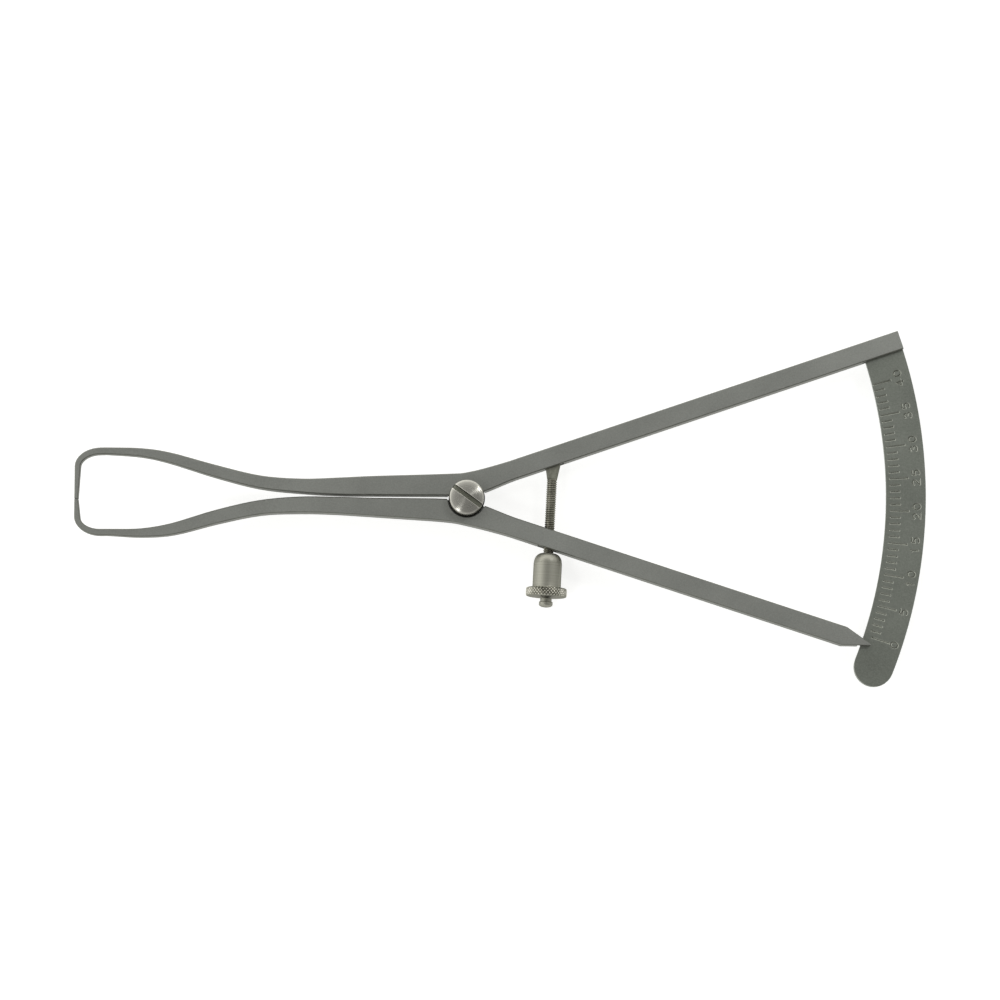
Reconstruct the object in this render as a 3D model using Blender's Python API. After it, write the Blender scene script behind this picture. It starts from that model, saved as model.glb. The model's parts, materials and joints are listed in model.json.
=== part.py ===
# Bone caliper: two flat steel arms in a half-lap pivot, jaws at the left that part
# as the handles at the right are squeezed, a curved scale plate fixed in the end of
# the scale arm, and a threaded spindle whose thumb nut holds the opening.
# Sizes below are in millimetres; the meshes are written in metres.
# Frame: the pivot's axis is Z, the arms' underside is z = 0, the jaws point to -X.

import math

import bmesh
import bpy
from mathutils import Vector

MM = 0.001

# Arms, both
ARM_THICKNESS = 3.0
ARM_EDGE_CHAMFER = 0.16
HANDLE_WIDTH = 3.25
HANDLE_OFFSET = 2.17  # from the pivot's axis to a handle's centre line
PIVOT_SHOULDER = (0.8, 2.62, 4.05)  # along X, out from X, width: the arm beside the pivot
SHOULDER_END = 9.0  # along the handle, where its straight stretch starts

# Each shank's centre line from the pivot to the jaw: along X, out from X, width
SCALE_SHANK = (
    (-4.0, 2.40, 3.70),
    (-15.8, 2.26, 3.30),
    (-22.0, 2.15, 2.95),
    (-28.5, 2.25, 2.38),
    (-35.6, 2.93, 2.15),
    (-43.1, 4.78, 2.03),
    (-51.0, 7.12, 1.76),
    (-56.0, 8.05, 1.45),
    (-61.5, 8.34, 1.18),
)
POINTER_SHANK = (
    (-4.0, 1.93, 3.78),
    (-15.8, 1.45, 3.13),
    (-22.0, 1.16, 2.87),
    (-28.5, 1.04, 2.75),
    (-35.6, 1.51, 2.45),
    (-43.1, 3.12, 2.29),
    (-50.5, 5.18, 1.98),
    (-56.0, 5.84, 1.45),
    (-61.5, 5.74, 1.10),
)
SCALE_HANDLE_ANGLE = 18.7
POINTER_HANDLE_ANGLE = 18.35

# Jaws
JAW_REACH = 67.5  # from the pivot's axis to the outer side of the jaws
JAW_CORNER_LENGTH = 4.0  # along X, of the bend's centre line
JAW_CORNER_HEIGHT = 2.7
JAW_CORNER_WIDTH = 1.0
TIP_WIDTH = 0.65
TIP_THICKNESS = 1.7
TIP_HEIGHT = 0.05  # how far above the X axis the tips meet
TIP_GAP = 0.12
THINNING_START = -30.0  # along X, where the shanks start to thin

# Half-lap pivot
EAR_RADIUS = 3.0
EAR_CLEARANCE = 0.35
EAR_STEP = 0.02  # an ear lies this far below its arm's face
LAP_GAP = 0.1
SCREW_SHANK_RADIUS = 1.5
SCREW_CLEARANCE = 0.06
SCREW_HEAD_RADIUS = 2.96
SCREW_HEAD_GAP = 0.05
SCREW_RIM_HEIGHT = 1.85
SCREW_DOME_HEIGHT = 0.5
SCREW_SLOT_WIDTH = 0.78
SCREW_SLOT_DEPTH = 0.85
SCREW_SLOT_ANGLE = -36.5
SCREW_SLOT_OFFSET = 0.2  # the slot was cut a little off the screw's centre

# Scale plate; its edges are struck from a point a little beyond the pivot
SCALE_ARC_CENTER = (-5.75, 1.5)
SCALE_INNER_RADIUS = 77.9
SCALE_WIDTH = 6.8
SCALE_THICKNESS = 1.0
SCALE_END_ANGLE = -22.0  # to the middle of the round end
SCALE_EDGE_CHAMFER = 0.1
SCALE_END_COVER = 0.35  # arm left beyond the plate's brazed end
SAW_SLOT_CLEARANCE = 0.05
SAW_SLOT_RUNOUT = 0.6
ARM_END_MARGIN = 0.05  # the scale arm's end stands out past the plate's outer edge
TICK_RADIUS = 72.9  # from the pivot's axis to where the marks start
ZERO_ANGLE = -19.0
SCALE_RANGE = 40
TICK_SPACING = 1
LONG_TICK_EVERY = 5
SHORT_TICK_LENGTH = 1.6
LONG_TICK_LENGTH = 3.1
ZERO_TICK_SHIFT = 0.5
TICK_WIDTH = 0.36
TICK_DEPTH = 0.09

# Pointer
POINTER_TIP_REACH = 73.5
POINTER_TAPER = 4.75
POINTER_TIP_WIDTH = 0.24
POINTER_STEP_CLEARANCE = 0.5  # between the scale's inner edge and the pointer's step
POINTER_LIFT = 0.12  # between the scale's face and the pointer

# Spindle, nut and stop
PIN_STATION = 16.15  # along the scale handle
PIN_INSET = 0.9  # from the handle's inner side
PIN_RADIUS = 0.6
PIN_CLEARANCE = 0.05
PIN_COVER = 0.35  # arm left above the pin, which goes in from below
EYE_RADIUS = 1.5
EYE_THICKNESS = 1.2
EYE_CLEARANCE = 0.2
EYE_NECK_LENGTH = 3.2
ROD_RADIUS = 0.82
ROD_SLOT_CLEARANCE = 0.15
ROD_SLOT_STATION = 15.8
ROD_SLOT_LENGTH = 3.4
SEAT_STATION = 16.05  # along the pointer handle, where the rod leaves its outer side
NUT_STANDOFF = 0.7
NUT_NOSE_RADIUS = 0.95
NUT_NOSE_LENGTH = 1.6
NUT_BODY_RADIUS = 2.4
NUT_BODY_LENGTH = 4.4
NUT_FLANGE_RADIUS = 3.57
NUT_FLANGE_THICKNESS = 1.5
NUT_FLANGE_ROUND = 0.35
NUT_CLEARANCE = 0.08
STOP_GAP = 0.25
STOP_COLLAR_RADIUS = 0.98
STOP_COLLAR_LENGTH = 0.6
STOP_BUTTON_RADIUS = 1.17
STOP_BUTTON_LENGTH = 0.7
STOP_DOME_HEIGHT = 0.3
TENON_RADIUS = 0.45
TENON_CLEARANCE = 0.05

# Facets
SPLINE_STEPS = 5
CORNER_STEPS = 9
ROUND_SEGMENTS = 48
SMALL_SEGMENTS = 32
ARC_STEP_ANGLE = 1.2

# Sizes that follow from those above
SCALE_OUTER_RADIUS = SCALE_INNER_RADIUS + SCALE_WIDTH
MID_HEIGHT = ARM_THICKNESS / 2
SCALE_TOP = MID_HEIGHT + SCALE_THICKNESS / 2
CUT_MARGIN = ARM_THICKNESS
FULL_SCALE_TURN = 2 * math.asin(SCALE_RANGE / (2 * (JAW_REACH - TIP_WIDTH)))


def clear_scene():
    for old in list(bpy.data.objects):
        bpy.data.objects.remove(old, do_unlink=True)


def steel(name, color, roughness, metallic=1.0):
    material = bpy.data.materials.new(name)
    material.use_nodes = True
    shader = material.node_tree.nodes["Principled BSDF"]
    shader.inputs["Base Color"].default_value = (*color, 1.0)
    shader.inputs["Roughness"].default_value = roughness
    shader.inputs["Metallic"].default_value = metallic
    return material


def add_object(name, bm, material=None):
    bmesh.ops.recalc_face_normals(bm, faces=bm.faces)
    bmesh.ops.scale(bm, vec=(MM, MM, MM), verts=bm.verts)
    mesh = bpy.data.meshes.new(name)
    bm.to_mesh(mesh)
    bm.free()
    mesh.shade_smooth()
    mesh.set_sharp_from_angle(angle=math.radians(30))
    made = bpy.data.objects.new(name, mesh)
    bpy.context.collection.objects.link(made)
    if material:
        mesh.materials.append(material)
    return made


def hide_cutter(cutter):
    cutter.hide_render = True
    cutter.display_type = "WIRE"
    return cutter


def boolean(target, tool, operation="DIFFERENCE"):
    modifier = target.modifiers.new(tool.name, "BOOLEAN")
    modifier.operation = operation
    modifier.solver = "EXACT"
    modifier.object = hide_cutter(tool)


def prism(outline, low, high):
    bm = bmesh.new()
    bottom = [bm.verts.new((x, y, low)) for x, y in outline]
    top = [bm.verts.new((x, y, high)) for x, y in outline]
    bm.faces.new(bottom)
    bm.faces.new(top)
    count = len(outline)
    for i in range(count):
        j = (i + 1) % count
        bm.faces.new((bottom[i], bottom[j], top[j], top[i]))
    return bm


def arc(center, radius, start, end, steps):
    points = []
    for i in range(steps + 1):
        angle = math.radians(start + (end - start) * i / steps)
        points.append((center[0] + radius * math.cos(angle), center[1] + radius * math.sin(angle)))
    return points


def disc_cutter(name, center, radius, low, high, segments=ROUND_SEGMENTS):
    outline = arc(center, radius, 0, 360, segments)[:-1]
    return add_object(name, prism(outline, low, high))


def turned(profile, segments):
    # Turns a profile of (along, radius) points about the local X axis.
    bm = bmesh.new()
    rings = []
    for along, radius in profile:
        if radius == 0:
            rings.append([bm.verts.new((along, 0, 0))])
            continue
        ring = []
        for i in range(segments):
            angle = math.tau * i / segments
            ring.append(bm.verts.new((along, radius * math.cos(angle), radius * math.sin(angle))))
        rings.append(ring)
    closed = len(rings[0]) > 1 and len(rings[-1]) > 1
    pairs = list(zip(rings, rings[1:]))
    if closed:
        pairs.append((rings[-1], rings[0]))
    for first, second in pairs:
        for i in range(segments):
            j = (i + 1) % segments
            if len(first) == 1:
                bm.faces.new((first[0], second[i], second[j]))
            elif len(second) == 1:
                bm.faces.new((first[i], first[j], second[0]))
            else:
                bm.faces.new((first[i], first[j], second[j], second[i]))
    return bm


def quarter_round(start, end, steps, bulge_first):
    # A quarter ellipse between two (along, radius) points; it leaves the start
    # along the axis where bulge_first is false, and across it where it is true.
    points = []
    for i in range(steps + 1):
        turn = math.pi / 2 * i / steps
        slow = 1 - math.cos(turn)
        fast = math.sin(turn)
        a = slow if bulge_first else fast
        r = fast if bulge_first else slow
        points.append((start[0] + (end[0] - start[0]) * a, start[1] + (end[1] - start[1]) * r))
    return points


def handle_point(angle, station, offset):
    # A point beside the pivot: station along a handle, offset to its left.
    turn = math.radians(angle)
    x = station * math.cos(turn) - offset * math.sin(turn)
    y = station * math.sin(turn) + offset * math.cos(turn)
    return x, y


def station_on_arc(angle, radius, offset):
    # Station where a line beside a handle meets an arc struck from the scale's center.
    center_x, center_y = SCALE_ARC_CENTER
    turn = math.radians(angle)
    center_station = center_x * math.cos(turn) + center_y * math.sin(turn)
    center_offset = center_y * math.cos(turn) - center_x * math.sin(turn)
    return center_station + math.sqrt(radius**2 - (offset - center_offset) ** 2)


def catmull_rom(before, start, end, after, t):
    values = []
    for p0, p1, p2, p3 in zip(before, start, end, after):
        cubic = -p0 + 3 * p1 - 3 * p2 + p3
        square = 2 * p0 - 5 * p1 + 4 * p2 - p3
        values.append(0.5 * (2 * p1 + (p2 - p0) * t + square * t * t + cubic * t**3))
    return tuple(values)


def thickness_at(x):
    # Full thickness to the start of the thinning, then evenly thinner to the jaws.
    share = (THINNING_START - x) / (THINNING_START + JAW_REACH)
    share = min(max(share, 0.0), 1.0)
    return ARM_THICKNESS + (TIP_THICKNESS - ARM_THICKNESS) * share


def shank_samples(angle, shank, tip_height):
    # Samples (x, y, width) from the straight handle through the shank to the jaw's
    # tip, with y counted outwards from the X axis.
    near = (*handle_point(angle, SHOULDER_END, HANDLE_OFFSET), HANDLE_WIDTH)
    far = (*handle_point(angle, 2 * SHOULDER_END, HANDLE_OFFSET), HANDLE_WIDTH)
    tip_x = -JAW_REACH + TIP_WIDTH / 2
    strap_x = -JAW_REACH + JAW_CORNER_WIDTH / 2
    corner_start = (strap_x + JAW_CORNER_LENGTH, shank[-1][1], shank[-1][2])
    beyond = (strap_x, shank[-1][1], shank[-1][2])
    stations = [far, near, PIVOT_SHOULDER, *shank, corner_start, beyond]
    samples = []
    for i in range(1, len(stations) - 2):
        for step in range(SPLINE_STEPS):
            samples.append(catmull_rom(*stations[i - 1 : i + 3], step / SPLINE_STEPS))
    for i in range(CORNER_STEPS + 1):
        share = i / CORNER_STEPS
        turn = math.pi / 2 * share
        x = corner_start[0] - JAW_CORNER_LENGTH * math.sin(turn)
        y = corner_start[1] - JAW_CORNER_HEIGHT * (1 - math.cos(turn))
        samples.append((x, y, shank[-1][2] + (JAW_CORNER_WIDTH - shank[-1][2]) * share))
    samples.append((tip_x, tip_height, TIP_WIDTH))
    return samples


def section(width, low, high):
    # A flat bar's section with chamfered edges, as (across, height) points.
    cut = min(ARM_EDGE_CHAMFER, width * 0.25)
    side = width / 2
    return (
        (-side + cut, low),
        (side - cut, low),
        (side, low + cut),
        (side, high - cut),
        (side - cut, high),
        (-side + cut, high),
        (-side, high - cut),
        (-side, low + cut),
    )


def swept_bar(rings):
    bm = bmesh.new()
    loops = [[bm.verts.new(point) for point in ring] for ring in rings]
    count = len(loops[0])
    for first, second in zip(loops, loops[1:]):
        for i in range(count):
            j = (i + 1) % count
            bm.faces.new((first[i], first[j], second[j], second[i]))
    bm.faces.new(loops[0])
    bm.faces.new(loops[-1])
    return bm


def handle_ring(angle, width, station=0, end_radius=None):
    # One section of a straight handle: square to it, or on an arc beyond the scale.
    ring = []
    for across, height in section(width, 0, ARM_THICKNESS):
        offset = HANDLE_OFFSET + across
        if end_radius:
            station = station_on_arc(angle, end_radius, offset)
        x, y = handle_point(angle, station, offset)
        ring.append((x, y, height))
    return ring


def shank_rings(samples):
    rings = []
    last = len(samples) - 1
    for i, (x, y, width) in enumerate(samples):
        before = Vector(samples[max(i - 1, 0)][:2])
        after = Vector(samples[min(i + 1, last)][:2])
        along = (after - before).normalized()
        if i == last:
            along = Vector((0.0, -1.0))
        outward = Vector((along.y, -along.x))
        thickness = thickness_at(x)
        low = MID_HEIGHT - thickness / 2
        high = MID_HEIGHT + thickness / 2
        ring = []
        for across, height in section(width, low, high):
            ring.append((x + outward.x * across, y + outward.y * across, height))
        rings.append(ring)
    return rings


def arm_body(name, angle, shank, side, end_rings, tip_height, material):
    # side is 1 for the arm above the X axis, and -1 for its mirror below.
    rings = end_rings + shank_rings(shank_samples(angle, shank, tip_height))
    placed = [[(x, side * y, z) for x, y, z in ring] for ring in rings]
    return add_object(name, swept_bar(placed), material)


def lap_joint(arm, top_ear):
    # Adds the arm's half-thickness ear at the pivot and cuts the bed for the other's.
    high = ARM_THICKNESS - EAR_STEP if top_ear else ARM_THICKNESS - 2 * EAR_STEP
    low = 2 * EAR_STEP if top_ear else EAR_STEP
    ear = disc_cutter(arm.name + "_ear", (0, 0), EAR_RADIUS, low, high)
    bed_radius = EAR_RADIUS + EAR_CLEARANCE
    if top_ear:
        bed_low, bed_high = -CUT_MARGIN, MID_HEIGHT + LAP_GAP / 2
    else:
        bed_low, bed_high = MID_HEIGHT - LAP_GAP / 2, ARM_THICKNESS + CUT_MARGIN
    bed = disc_cutter(arm.name + "_bed", (0, 0), bed_radius, bed_low, bed_high)
    bore_radius = SCREW_SHANK_RADIUS + SCREW_CLEARANCE
    bore = disc_cutter(
        arm.name + "_bore", (0, 0), bore_radius, -CUT_MARGIN, ARM_THICKNESS + CUT_MARGIN, SMALL_SEGMENTS
    )
    boolean(arm, ear, "UNION")
    boolean(arm, bed)
    boolean(arm, bore)


def handle_box(name, angle, stations, offsets, low, high):
    # A box lined up with a handle, between two stations and two offsets.
    corners = [
        handle_point(angle, stations[0], offsets[0]),
        handle_point(angle, stations[1], offsets[0]),
        handle_point(angle, stations[1], offsets[1]),
        handle_point(angle, stations[0], offsets[1]),
    ]
    return add_object(name, prism(corners, low, high))


def pin_center():
    return handle_point(SCALE_HANDLE_ANGLE, PIN_STATION, HANDLE_OFFSET - HANDLE_WIDTH / 2 + PIN_INSET)


def seat_center():
    return handle_point(-POINTER_HANDLE_ANGLE, SEAT_STATION, -HANDLE_OFFSET - HANDLE_WIDTH / 2)


def make_scale_arm(material):
    angle = SCALE_HANDLE_ANGLE
    end_radius = SCALE_OUTER_RADIUS + ARM_END_MARGIN
    end = [handle_ring(angle, HANDLE_WIDTH, end_radius=end_radius)]
    tip = TIP_HEIGHT + TIP_GAP / 2
    arm = arm_body("scale_arm", angle, SCALE_SHANK, 1, end, tip, material)
    lap_joint(arm, top_ear=True)

    # The saw slot that the scale plate is brazed in.
    half_slot = SCALE_THICKNESS / 2 + SAW_SLOT_CLEARANCE
    inner = HANDLE_OFFSET - HANDLE_WIDTH
    outer = HANDLE_OFFSET + HANDLE_WIDTH
    seat = HANDLE_OFFSET + HANDLE_WIDTH / 2 - SCALE_END_COVER
    start = station_on_arc(angle, SCALE_INNER_RADIUS, seat) - SAW_SLOT_RUNOUT
    saw_slot = handle_box(
        "scale_arm_saw_slot",
        angle,
        (start, end_radius),
        (inner, outer),
        MID_HEIGHT - half_slot,
        MID_HEIGHT + half_slot,
    )
    boolean(arm, saw_slot)

    # The pocket that the spindle's eye turns in, open on the handle's inner side.
    pin = pin_center()
    pocket_radius = EYE_RADIUS + EYE_CLEARANCE
    half_pocket = EYE_THICKNESS / 2 + EYE_CLEARANCE
    outline = [
        handle_point(angle, PIN_STATION - pocket_radius, -CUT_MARGIN),
        handle_point(angle, PIN_STATION + pocket_radius, -CUT_MARGIN),
        *arc(pin, pocket_radius, angle, angle + 180, SMALL_SEGMENTS // 2),
    ]
    pocket = add_object(
        "scale_arm_eye_pocket", prism(outline, MID_HEIGHT - half_pocket, MID_HEIGHT + half_pocket)
    )
    boolean(arm, pocket)
    pin_hole = disc_cutter(
        "scale_arm_pin_hole",
        pin,
        PIN_RADIUS + PIN_CLEARANCE,
        -CUT_MARGIN,
        ARM_THICKNESS - PIN_COVER,
        SMALL_SEGMENTS,
    )
    boolean(arm, pin_hole)
    return arm


def make_pointer_arm(material):
    angle = POINTER_HANDLE_ANGLE
    taper_start = POINTER_TIP_REACH - POINTER_TAPER
    end = [
        handle_ring(angle, POINTER_TIP_WIDTH, POINTER_TIP_REACH),
        handle_ring(angle, HANDLE_WIDTH, taper_start),
    ]
    tip = TIP_GAP / 2 - TIP_HEIGHT
    arm = arm_body("pointer_arm", angle, POINTER_SHANK, -1, end, tip, material)
    lap_joint(arm, top_ear=False)

    # Below the pointer the arm is cut away, so that the tip passes over the scale.
    step = station_on_arc(-angle, SCALE_INNER_RADIUS, -HANDLE_OFFSET) - POINTER_STEP_CLEARANCE
    relief = handle_box(
        "pointer_arm_relief",
        -angle,
        (step, POINTER_TIP_REACH + CUT_MARGIN),
        (-HANDLE_OFFSET - HANDLE_WIDTH, -HANDLE_OFFSET + HANDLE_WIDTH),
        -CUT_MARGIN,
        SCALE_TOP + POINTER_LIFT,
    )
    boolean(arm, relief)

    # The slot that the spindle passes through.
    half_slot = ROD_RADIUS + ROD_SLOT_CLEARANCE
    rod_slot = handle_box(
        "pointer_arm_rod_slot",
        -angle,
        (ROD_SLOT_STATION - ROD_SLOT_LENGTH / 2, ROD_SLOT_STATION + ROD_SLOT_LENGTH / 2),
        (-HANDLE_OFFSET - HANDLE_WIDTH, -HANDLE_OFFSET + HANDLE_WIDTH),
        MID_HEIGHT - half_slot,
        MID_HEIGHT + half_slot,
    )
    boolean(arm, rod_slot)
    return arm


def make_pivot_screw(material):
    head_base = ARM_THICKNESS + SCREW_HEAD_GAP
    rim_top = head_base + SCREW_RIM_HEIGHT
    dome = quarter_round((rim_top, SCREW_HEAD_RADIUS), (rim_top + SCREW_DOME_HEIGHT, 0), 7, False)
    profile = [
        (0, 0),
        (0, SCREW_SHANK_RADIUS),
        (head_base, SCREW_SHANK_RADIUS),
        (head_base, SCREW_HEAD_RADIUS),
        *dome[:-1],
        (dome[-1][0], 0),
    ]
    screw = add_object("pivot_screw", turned(profile, ROUND_SEGMENTS), material)
    screw.rotation_euler = (0, -math.pi / 2, 0)

    reach = 2 * SCREW_HEAD_RADIUS
    half = SCREW_SLOT_WIDTH / 2
    top = rim_top + SCREW_DOME_HEIGHT
    low = SCREW_SLOT_OFFSET - half
    high = SCREW_SLOT_OFFSET + half
    outline = [(-reach, low), (reach, low), (reach, high), (-reach, high)]
    slot = add_object("pivot_screw_slot", prism(outline, top - SCREW_SLOT_DEPTH, top + CUT_MARGIN))
    slot.rotation_euler = (0, 0, math.radians(SCREW_SLOT_ANGLE))
    boolean(screw, slot)
    return screw


def tick_cutter():
    # One V-shaped groove for each millimetre of opening. The arms turn through the
    # whole range of marks when the tips part by that range; the marks divide it evenly.
    bm = bmesh.new()
    for reading in range(0, SCALE_RANGE + 1, TICK_SPACING):
        angle = math.radians(ZERO_ANGLE) + FULL_SCALE_TURN * reading / SCALE_RANGE
        long_tick = reading % LONG_TICK_EVERY == 0
        length = LONG_TICK_LENGTH if long_tick else SHORT_TICK_LENGTH
        start = TICK_RADIUS + (ZERO_TICK_SHIFT if reading == 0 else 0)
        along = Vector((math.cos(angle), math.sin(angle), 0))
        across = Vector((-along.y, along.x, 0))
        ends = []
        for radius in (start, start + length):
            root = along * radius + Vector((0, 0, SCALE_TOP - TICK_DEPTH))
            rise = Vector((0, 0, 2 * TICK_DEPTH))
            corners = (root, root + rise + across * TICK_WIDTH, root + rise - across * TICK_WIDTH)
            ends.append([bm.verts.new(corner) for corner in corners])
        bm.faces.new(ends[0])
        bm.faces.new(ends[1])
        for i in range(3):
            j = (i + 1) % 3
            bm.faces.new((ends[0][i], ends[0][j], ends[1][j], ends[1][i]))
    return add_object("scale_plate_ticks", bm)


def seated_end_angle(radius):
    # Direction from the scale's center to where one of its edges ends in the saw slot.
    seat = HANDLE_OFFSET + HANDLE_WIDTH / 2 - SCALE_END_COVER
    station = station_on_arc(SCALE_HANDLE_ANGLE, radius, seat)
    x, y = handle_point(SCALE_HANDLE_ANGLE, station, seat)
    return math.degrees(math.atan2(y - SCALE_ARC_CENTER[1], x - SCALE_ARC_CENTER[0]))


def make_scale_plate(material):
    middle = SCALE_INNER_RADIUS + SCALE_WIDTH / 2
    inner_top = seated_end_angle(SCALE_INNER_RADIUS)
    outer_top = seated_end_angle(SCALE_OUTER_RADIUS)
    steps = round((outer_top - SCALE_END_ANGLE) / ARC_STEP_ANGLE)
    end_center = arc(SCALE_ARC_CENTER, middle, SCALE_END_ANGLE, SCALE_END_ANGLE, 1)[0]
    rounded = arc(end_center, SCALE_WIDTH / 2, SCALE_END_ANGLE, SCALE_END_ANGLE - 180, SMALL_SEGMENTS // 2)
    outline = [
        *arc(SCALE_ARC_CENTER, SCALE_OUTER_RADIUS, outer_top, SCALE_END_ANGLE, steps),
        *rounded[1:-1],
        *arc(SCALE_ARC_CENTER, SCALE_INNER_RADIUS, SCALE_END_ANGLE, inner_top, steps),
    ]
    bm = prism(outline, MID_HEIGHT - SCALE_THICKNESS / 2, SCALE_TOP)
    rims = [edge for edge in bm.edges if abs(edge.verts[0].co.z - edge.verts[1].co.z) < SCALE_EDGE_CHAMFER]
    bmesh.ops.bevel(bm, geom=rims, offset=SCALE_EDGE_CHAMFER, segments=1, affect="EDGES")
    plate = add_object("scale_plate", bm, material)
    boolean(plate, tick_cutter())
    return plate


def make_spindle_frame():
    # An empty on the pin's axis whose X axis runs down the spindle.
    pin = Vector(pin_center())
    seat = Vector(seat_center())
    frame = bpy.data.objects.new("spindle_frame", None)
    bpy.context.collection.objects.link(frame)
    frame.empty_display_size = EYE_RADIUS * MM
    frame.location = (pin.x * MM, pin.y * MM, MID_HEIGHT * MM)
    down = seat - pin
    frame.rotation_euler = (0, 0, math.atan2(down.y, down.x))
    return frame, down.length


def eye_outline():
    # A teardrop: the eye's round with straight flanks that touch it and the rod.
    reach = math.hypot(EYE_NECK_LENGTH, ROD_RADIUS)
    lean = math.degrees(math.atan2(ROD_RADIUS, EYE_NECK_LENGTH))
    touch = lean + math.degrees(math.acos(EYE_RADIUS / reach))
    round_side = arc((0, 0), EYE_RADIUS, touch, 360 - touch, SMALL_SEGMENTS)
    return [(EYE_NECK_LENGTH, ROD_RADIUS), *round_side, (EYE_NECK_LENGTH, -ROD_RADIUS)]


def nut_stations(seat_distance):
    nose = seat_distance + NUT_STANDOFF
    body = nose + NUT_NOSE_LENGTH
    flange = body + NUT_BODY_LENGTH
    foot = flange + NUT_FLANGE_THICKNESS
    return nose, body, flange, foot


def make_spindle(frame, seat_distance, material):
    foot = nut_stations(seat_distance)[3]
    shoulder = foot + STOP_GAP / 2
    tenon_end = shoulder + STOP_GAP / 2 + STOP_COLLAR_LENGTH + STOP_BUTTON_LENGTH / 2
    half = EYE_THICKNESS / 2
    spindle = add_object("adjusting_spindle", prism(eye_outline(), -half, half), material)
    spindle.parent = frame
    profile = [
        (EYE_RADIUS, 0),
        (EYE_RADIUS, half * 0.8),
        (EYE_NECK_LENGTH, ROD_RADIUS),
        (shoulder, ROD_RADIUS),
        (shoulder, TENON_RADIUS),
        (tenon_end, TENON_RADIUS),
        (tenon_end, 0),
    ]
    rod = add_object("spindle_rod", turned(profile, SMALL_SEGMENTS))
    rod.parent = frame
    hole_radius = PIN_RADIUS + PIN_CLEARANCE
    eye_hole = disc_cutter("spindle_eye_hole", (0, 0), hole_radius, -CUT_MARGIN, CUT_MARGIN, SMALL_SEGMENTS)
    eye_hole.parent = frame
    boolean(spindle, rod, "UNION")
    boolean(spindle, eye_hole)
    return spindle


def make_spindle_pin(material):
    pin = pin_center()
    outline = arc((0, 0), PIN_RADIUS, 0, 360, SMALL_SEGMENTS)[:-1]
    made = add_object("spindle_pin", prism(outline, 0, ARM_THICKNESS - PIN_COVER - PIN_CLEARANCE), material)
    made.location = (pin[0] * MM, pin[1] * MM, 0)
    return made


def make_thumb_nut(frame, seat_distance, material):
    nose, body, flange, foot = nut_stations(seat_distance)
    bore = ROD_RADIUS + NUT_CLEARANCE
    edge = NUT_FLANGE_ROUND
    profile = [
        (nose, bore),
        *quarter_round((nose, NUT_NOSE_RADIUS), (body, NUT_BODY_RADIUS), 8, True),
        (flange, NUT_BODY_RADIUS),
        (flange, NUT_FLANGE_RADIUS - edge),
        *quarter_round((flange, NUT_FLANGE_RADIUS - edge), (flange + edge, NUT_FLANGE_RADIUS), 4, True)[1:],
        *quarter_round((foot - edge, NUT_FLANGE_RADIUS), (foot, NUT_FLANGE_RADIUS - edge), 4, False),
        (foot, bore),
    ]
    nut = add_object("thumb_nut", turned(profile, ROUND_SEGMENTS), material)
    nut.parent = frame
    return nut


def make_end_stop(frame, seat_distance, material):
    start = nut_stations(seat_distance)[3] + STOP_GAP
    button = start + STOP_COLLAR_LENGTH
    dome = button + STOP_BUTTON_LENGTH
    bore = TENON_RADIUS + TENON_CLEARANCE
    bore_end = start + STOP_COLLAR_LENGTH + STOP_BUTTON_LENGTH / 2 + TENON_CLEARANCE
    dome_round = quarter_round((dome, STOP_BUTTON_RADIUS), (dome + STOP_DOME_HEIGHT, 0), 5, False)
    profile = [
        (bore_end, 0),
        (bore_end, bore),
        (start, bore),
        (start, STOP_COLLAR_RADIUS),
        (button, STOP_COLLAR_RADIUS),
        (button, STOP_BUTTON_RADIUS),
        *dome_round[:-1],
        (dome_round[-1][0], 0),
    ]
    stop = add_object("end_stop", turned(profile, SMALL_SEGMENTS), material)
    stop.parent = frame
    return stop


def main():
    clear_scene()
    satin = steel("scale_arm_steel", (0.19, 0.195, 0.175), 0.42)
    pointer_steel = steel("pointer_arm_steel", (0.19, 0.195, 0.175), 0.42)
    screw_steel = steel("pivot_screw_steel", (0.50, 0.49, 0.45), 0.24)
    plate_steel = steel("scale_plate_steel", (0.125, 0.142, 0.125), 0.5)
    spindle_steel = steel("spindle_steel", (0.22, 0.22, 0.17), 0.38)
    pin_steel = steel("spindle_pin_steel", (0.19, 0.195, 0.175), 0.4)
    nut_steel = steel("thumb_nut_steel", (0.31, 0.31, 0.25), 0.4)
    stop_steel = steel("end_stop_steel", (0.24, 0.24, 0.19), 0.4)

    make_scale_arm(satin)
    make_pointer_arm(pointer_steel)
    make_pivot_screw(screw_steel)
    make_scale_plate(plate_steel)
    make_spindle_pin(pin_steel)
    frame, seat_distance = make_spindle_frame()
    make_spindle(frame, seat_distance, spindle_steel)
    make_thumb_nut(frame, seat_distance, nut_steel)
    make_end_stop(frame, seat_distance, stop_steel)


main()
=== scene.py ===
# Bone caliper: the looks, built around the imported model.

import json
import math

import bpy
from mathutils import Matrix, Vector

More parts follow.
